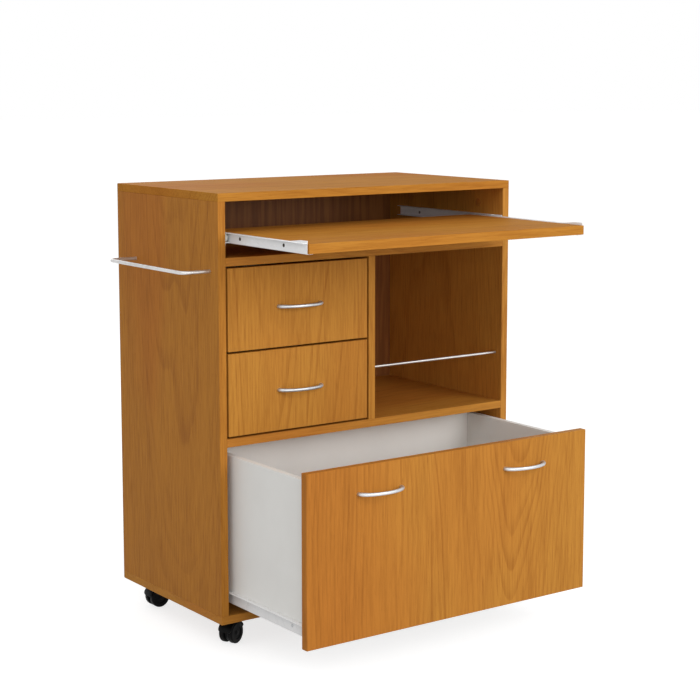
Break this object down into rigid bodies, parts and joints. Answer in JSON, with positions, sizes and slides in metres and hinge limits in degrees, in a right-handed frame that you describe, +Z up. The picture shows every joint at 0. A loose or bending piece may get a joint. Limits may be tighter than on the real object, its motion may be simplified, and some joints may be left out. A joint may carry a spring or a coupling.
{
  "type": "kitchen cart",
  "caption": "Kitchen cart on twin-wheel casters: pull-out worktop under the top, small drawers beside an open bay, deep pot drawer below, towel rail on the side.",
  "frame": {"origin": "on the floor, in the middle of the area that the cart covers as it stands, with worktop and pot drawer open", "axes": "+Z up, the front with the drawers faces -Y, +X to the right of somebody who faces the front"},
  "size_m": [0.7774, 0.6856, 0.885],
  "materials": {
    "wood_laminate": "honey wood-grain laminate, satin",
    "white_board": "white melamine, satin",
    "hardboard": "thin fibreboard, wood-grain print inside, bare brown outside",
    "runner_enamel": "white powder coat",
    "roller_plastic": "white plastic",
    "satin_nickel": "satin nickel plate",
    "chromed_rod": "chrome plate",
    "plated_steel": "zinc plate",
    "caster_plastic": "black plastic",
    "wheel_plastic": "black plastic"
  },
  "bodies": {
    "cabinet": {"top_panel": "wood_laminate", "left_side_panel": "wood_laminate", "right_side_panel": "wood_laminate", "base_panel": "wood_laminate", "back_panel": "hardboard", "worktop_shelf": "wood_laminate", "middle_shelf": "wood_laminate", "divider": "wood_laminate", "towel_rail": "chromed_rod", "gallery_rail": "chromed_rod", "caster_plates": "plated_steel", "cabinet_runners": "runner_enamel", "cabinet_fasteners": "plated_steel"},
    "worktop": {"worktop_board": "wood_laminate", "worktop_runners": "runner_enamel", "worktop_screws": "plated_steel"},
    "upper_drawer": {"upper_drawer_front": "wood_laminate", "upper_drawer_left_side": "white_board", "upper_drawer_right_side": "white_board", "upper_drawer_back": "white_board", "upper_drawer_bottom": "white_board", "upper_drawer_handle": "satin_nickel", "upper_drawer_runners": "runner_enamel", "upper_drawer_screws": "plated_steel"},
    "lower_drawer": {"lower_drawer_front": "wood_laminate", "lower_drawer_left_side": "white_board", "lower_drawer_right_side": "white_board", "lower_drawer_back": "white_board", "lower_drawer_bottom": "white_board", "lower_drawer_handle": "satin_nickel", "lower_drawer_runners": "runner_enamel", "lower_drawer_screws": "plated_steel"},
    "pot_drawer": {"pot_drawer_front": "wood_laminate", "pot_drawer_left_side": "white_board", "pot_drawer_right_side": "white_board", "pot_drawer_back": "white_board", "pot_drawer_bottom": "white_board", "pot_drawer_handles": "satin_nickel", "pot_drawer_runners": "runner_enamel", "pot_drawer_screws": "plated_steel"},
    "worktop_front_rollers": {"worktop_front_rollers": "roller_plastic"},
    "worktop_rear_rollers": {"worktop_rear_rollers": "roller_plastic"},
    "upper_drawer_front_rollers": {"upper_drawer_front_rollers": "roller_plastic"},
    "upper_drawer_rear_rollers": {"upper_drawer_rear_rollers": "roller_plastic"},
    "lower_drawer_front_rollers": {"lower_drawer_front_rollers": "roller_plastic"},
    "lower_drawer_rear_rollers": {"lower_drawer_rear_rollers": "roller_plastic"},
    "pot_drawer_front_rollers": {"pot_drawer_front_rollers": "roller_plastic"},
    "pot_drawer_rear_rollers": {"pot_drawer_rear_rollers": "roller_plastic"},
    "front_left_caster": {"front_left_caster_hood": "caster_plastic"},
    "front_left_left_wheel": {"front_left_caster_left_wheel": "wheel_plastic"},
    "front_left_right_wheel": {"front_left_caster_right_wheel": "wheel_plastic"},
    "front_right_caster": {"front_right_caster_hood": "caster_plastic"},
    "front_right_left_wheel": {"front_right_caster_left_wheel": "wheel_plastic"},
    "front_right_right_wheel": {"front_right_caster_right_wheel": "wheel_plastic"},
    "rear_left_caster": {"rear_left_caster_hood": "caster_plastic"},
    "rear_left_left_wheel": {"rear_left_caster_left_wheel": "wheel_plastic"},
    "rear_left_right_wheel": {"rear_left_caster_right_wheel": "wheel_plastic"},
    "rear_right_caster": {"rear_right_caster_hood": "caster_plastic"},
    "rear_right_left_wheel": {"rear_right_caster_left_wheel": "wheel_plastic"},
    "rear_right_right_wheel": {"rear_right_caster_right_wheel": "wheel_plastic"}
  },
  "joints": [
    {"name": "worktop_slide", "type": "slide", "parent": "cabinet", "child": "worktop", "axis": [0, -1, 0], "range_m": [-0.259, 0.041]},
    {"name": "upper_drawer_slide", "type": "slide", "parent": "cabinet", "child": "upper_drawer", "axis": [0, -1, 0], "range_m": [0, 0.3]},
    {"name": "lower_drawer_slide", "type": "slide", "parent": "cabinet", "child": "lower_drawer", "axis": [0, -1, 0], "range_m": [0, 0.3]},
    {"name": "pot_drawer_slide", "type": "slide", "parent": "cabinet", "child": "pot_drawer", "axis": [0, -1, 0], "range_m": [-0.263, 0.037]},
    {"name": "worktop_front_rollers_roll", "type": "hinge", "parent": "cabinet", "child": "worktop_front_rollers", "pos_m": [0.03175, -0.0398, 0.8009], "axis": [1, 0, 0], "range_deg": [-1856, 295]},
    {"name": "worktop_rear_rollers_roll", "type": "hinge", "parent": "worktop", "child": "worktop_rear_rollers", "pos_m": [0.03175, 0.0302, 0.8009], "axis": [1, 0, 0], "range_deg": [-1856, 295]},
    {"name": "upper_drawer_front_rollers_roll", "type": "hinge", "parent": "cabinet", "child": "upper_drawer_front_rollers", "pos_m": [-0.14275, -0.0238, 0.6069], "axis": [1, 0, 0], "range_deg": [-1, 2150]},
    {"name": "upper_drawer_rear_rollers_roll", "type": "hinge", "parent": "upper_drawer", "child": "upper_drawer_rear_rollers", "pos_m": [-0.14275, 0.3002, 0.6069], "axis": [1, 0, 0], "range_deg": [-1, 2150]},
    {"name": "lower_drawer_front_rollers_roll", "type": "hinge", "parent": "cabinet", "child": "lower_drawer_front_rollers", "pos_m": [-0.14275, -0.0238, 0.4439], "axis": [1, 0, 0], "range_deg": [-1, 2150]},
    {"name": "lower_drawer_rear_rollers_roll", "type": "hinge", "parent": "lower_drawer", "child": "lower_drawer_rear_rollers", "pos_m": [-0.14275, 0.3002, 0.4439], "axis": [1, 0, 0], "range_deg": [-1, 2150]},
    {"name": "pot_drawer_front_rollers_roll", "type": "hinge", "parent": "cabinet", "child": "pot_drawer_front_rollers", "pos_m": [0.03175, -0.0238, 0.1039], "axis": [1, 0, 0], "range_deg": [-1508, 213]},
    {"name": "pot_drawer_rear_rollers_roll", "type": "hinge", "parent": "pot_drawer", "child": "pot_drawer_rear_rollers", "pos_m": [0.03175, 0.0372, 0.1039], "axis": [1, 0, 0], "range_deg": [-1508, 213]},
    {"name": "front_left_swivel", "type": "hinge", "parent": "cabinet", "child": "front_left_caster", "pos_m": [-0.26125, 0.0002, 0.045], "axis": [0, 0, 1], "continuous": true},
    {"name": "front_left_left_wheel_roll", "type": "hinge", "parent": "front_left_caster", "child": "front_left_left_wheel", "pos_m": [-0.27587, -0.00631, 0.021], "axis": [0.4067, -0.9135, 0], "continuous": true},
    {"name": "front_left_right_wheel_roll", "type": "hinge", "parent": "front_left_caster", "child": "front_left_right_wheel", "pos_m": [-0.27587, -0.00631, 0.021], "axis": [0.4067, -0.9135, 0], "continuous": true},
    {"name": "front_right_swivel", "type": "hinge", "parent": "cabinet", "child": "front_right_caster", "pos_m": [0.32475, 0.0002, 0.045], "axis": [0, 0, 1], "continuous": true},
    {"name": "front_right_left_wheel_roll", "type": "hinge", "parent": "front_right_caster", "child": "front_right_left_wheel", "pos_m": [0.30891, -0.00203, 0.021], "axis": [0.1392, -0.9903, 0], "continuous": true},
    {"name": "front_right_right_wheel_roll", "type": "hinge", "parent": "front_right_caster", "child": "front_right_right_wheel", "pos_m": [0.30891, -0.00203, 0.021], "axis": [0.1392, -0.9903, 0], "continuous": true},
    {"name": "rear_left_swivel", "type": "hinge", "parent": "cabinet", "child": "rear_left_caster", "pos_m": [-0.26125, 0.2852, 0.045], "axis": [0, 0, 1], "continuous": true},
    {"name": "rear_left_left_wheel_roll", "type": "hinge", "parent": "rear_left_caster", "child": "rear_left_left_wheel", "pos_m": [-0.27725, 0.28492, 0.021], "axis": [0.0175, -0.9998, 0], "continuous": true},
    {"name": "rear_left_right_wheel_roll", "type": "hinge", "parent": "rear_left_caster", "child": "rear_left_right_wheel", "pos_m": [-0.27725, 0.28492, 0.021], "axis": [0.0175, -0.9998, 0], "continuous": true},
    {"name": "rear_right_swivel", "type": "hinge", "parent": "cabinet", "child": "rear_right_caster", "pos_m": [0.32475, 0.2852, 0.045], "axis": [0, 0, 1], "continuous": true},
    {"name": "rear_right_left_wheel_roll", "type": "hinge", "parent": "rear_right_caster", "child": "rear_right_left_wheel", "pos_m": [0.30891, 0.28743, 0.021], "axis": [-0.1392, -0.9903, 0], "continuous": true},
    {"name": "rear_right_right_wheel_roll", "type": "hinge", "parent": "rear_right_caster", "child": "rear_right_right_wheel", "pos_m": [0.30891, 0.28743, 0.021], "axis": [-0.1392, -0.9903, 0], "continuous": true}
  ],
  "couplings": [
    {"joint": "worktop_front_rollers_roll", "follows": "worktop_slide", "rad_per_m": 125},
    {"joint": "worktop_rear_rollers_roll", "follows": "worktop_slide", "rad_per_m": 125},
    {"joint": "upper_drawer_front_rollers_roll", "follows": "upper_drawer_slide", "rad_per_m": 125},
    {"joint": "upper_drawer_rear_rollers_roll", "follows": "upper_drawer_slide", "rad_per_m": 125},
    {"joint": "lower_drawer_front_rollers_roll", "follows": "lower_drawer_slide", "rad_per_m": 125},
    {"joint": "lower_drawer_rear_rollers_roll", "follows": "lower_drawer_slide", "rad_per_m": 125},
    {"joint": "pot_drawer_front_rollers_roll", "follows": "pot_drawer_slide", "rad_per_m": 100},
    {"joint": "pot_drawer_rear_rollers_roll", "follows": "pot_drawer_slide", "rad_per_m": 100}
  ]
}
